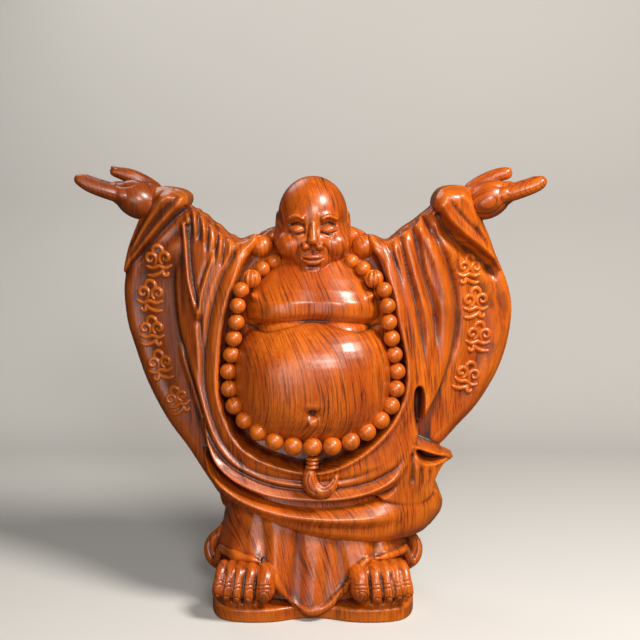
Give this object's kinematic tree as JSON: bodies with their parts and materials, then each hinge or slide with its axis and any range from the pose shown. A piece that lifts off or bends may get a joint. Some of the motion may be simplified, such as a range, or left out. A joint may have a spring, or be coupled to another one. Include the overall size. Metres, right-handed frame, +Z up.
{
  "type": "laughing buddha statue",
  "caption": "Carved wooden figure of a round-bellied laughing buddha, standing with both arms raised in wide sleeves, wearing a string of beads.",
  "frame": {"origin": "centre of the flat underside that the statue stands on", "axes": "+Z up, the figure faces -Y, +X towards the viewer's right as the figure is seen from the front"},
  "size_m": [0.3087, 0.1094, 0.2887],
  "materials": {
    "rosewood": "reddish orange hardwood with dark brown figure, polished and lacquered to a gloss"
  },
  "bodies": {
    "root": {"statue": "rosewood"}
  },
  "joints": []
}
